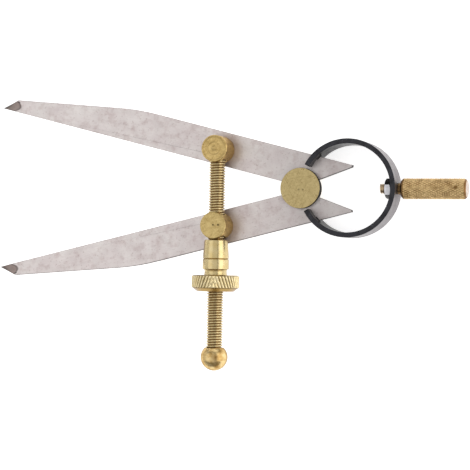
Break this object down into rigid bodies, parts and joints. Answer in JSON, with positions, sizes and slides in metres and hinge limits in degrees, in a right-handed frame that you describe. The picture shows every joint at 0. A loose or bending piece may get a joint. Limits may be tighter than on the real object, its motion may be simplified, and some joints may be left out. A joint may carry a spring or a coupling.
{
  "type": "divider caliper",
  "caption": "Spring divider caliper: flat pointed steel legs on a brass fulcrum, round bow spring, threaded rod with thumb nut and a knurled brass handle.",
  "frame": {"origin": "on the fulcrum's axis, in the middle of the legs' thickness", "axes": "+X along the handle, away from the points; +Z out of the legs' front face, where the threaded rod lies; +Y towards the leg that holds the rod's fixed end"},
  "size_m": [0.1979, 0.1104, 0.0223],
  "materials": {
    "leg_steel": "ground, matt",
    "spring_steel": "blued edges, bright flats",
    "plated_steel": "zinc plated",
    "screw_steel": "turned",
    "face_brass": "turned and lightly scratched",
    "handle_brass": "knurled, lacquered",
    "rod_brass": "threaded",
    "polished_brass": "polished"
  },
  "bodies": {
    "head": {"fulcrum_stud": "face_brass", "fulcrum_back_flange": "face_brass", "fulcrum_screw": "screw_steel", "bow_spring": "spring_steel", "handle": "handle_brass", "handle_nut": "plated_steel"},
    "upper_leg": {"upper_leg": "leg_steel"},
    "lower_leg": {"lower_leg": "leg_steel"},
    "upper_post": {"upper_post": "face_brass", "upper_post_washer": "face_brass", "upper_post_screw": "screw_steel", "adjusting_rod": "rod_brass", "rod_ball": "polished_brass"},
    "lower_post": {"lower_post": "face_brass", "lower_post_washer": "face_brass", "lower_post_screw": "screw_steel"},
    "thumb_nut": {"thumb_nut": "polished_brass"}
  },
  "joints": [
    {"name": "leg_opening", "type": "hinge", "parent": "head", "child": "upper_leg", "pos_m": [0, 0, 0], "axis": [0, 0, -1], "range_deg": [-14.2, 20], "deforming": ["bow_spring"]},
    {"name": "lower_leg_opening", "type": "hinge", "parent": "head", "child": "lower_leg", "pos_m": [0, 0, 0], "axis": [0, 0, 1], "range_deg": [-14.2, 20]},
    {"name": "upper_post_swivel", "type": "hinge", "parent": "upper_leg", "child": "upper_post", "pos_m": [-0.03361, 0.01541, 0], "axis": [0, 0, 1], "range_deg": [-14.2, 20]},
    {"name": "lower_post_swivel", "type": "hinge", "parent": "lower_leg", "child": "lower_post", "pos_m": [-0.03361, -0.01541, 0], "axis": [0, 0, -1], "range_deg": [-14.2, 20]},
    {"name": "nut_turning", "type": "hinge", "parent": "lower_post", "child": "thumb_nut", "pos_m": [-0.03361, -0.03, 0.0067], "axis": [0, 1, 0], "range_deg": [-5451, 7675]}
  ],
  "couplings": [
    {"joint": "lower_leg_opening", "follows": "leg_opening", "ratio": 1},
    {"joint": "upper_post_swivel", "follows": "leg_opening", "ratio": 1},
    {"joint": "lower_post_swivel", "follows": "leg_opening", "ratio": 1},
    {"joint": "nut_turning", "follows": "leg_opening", "ratio": 383.5}
  ]
}
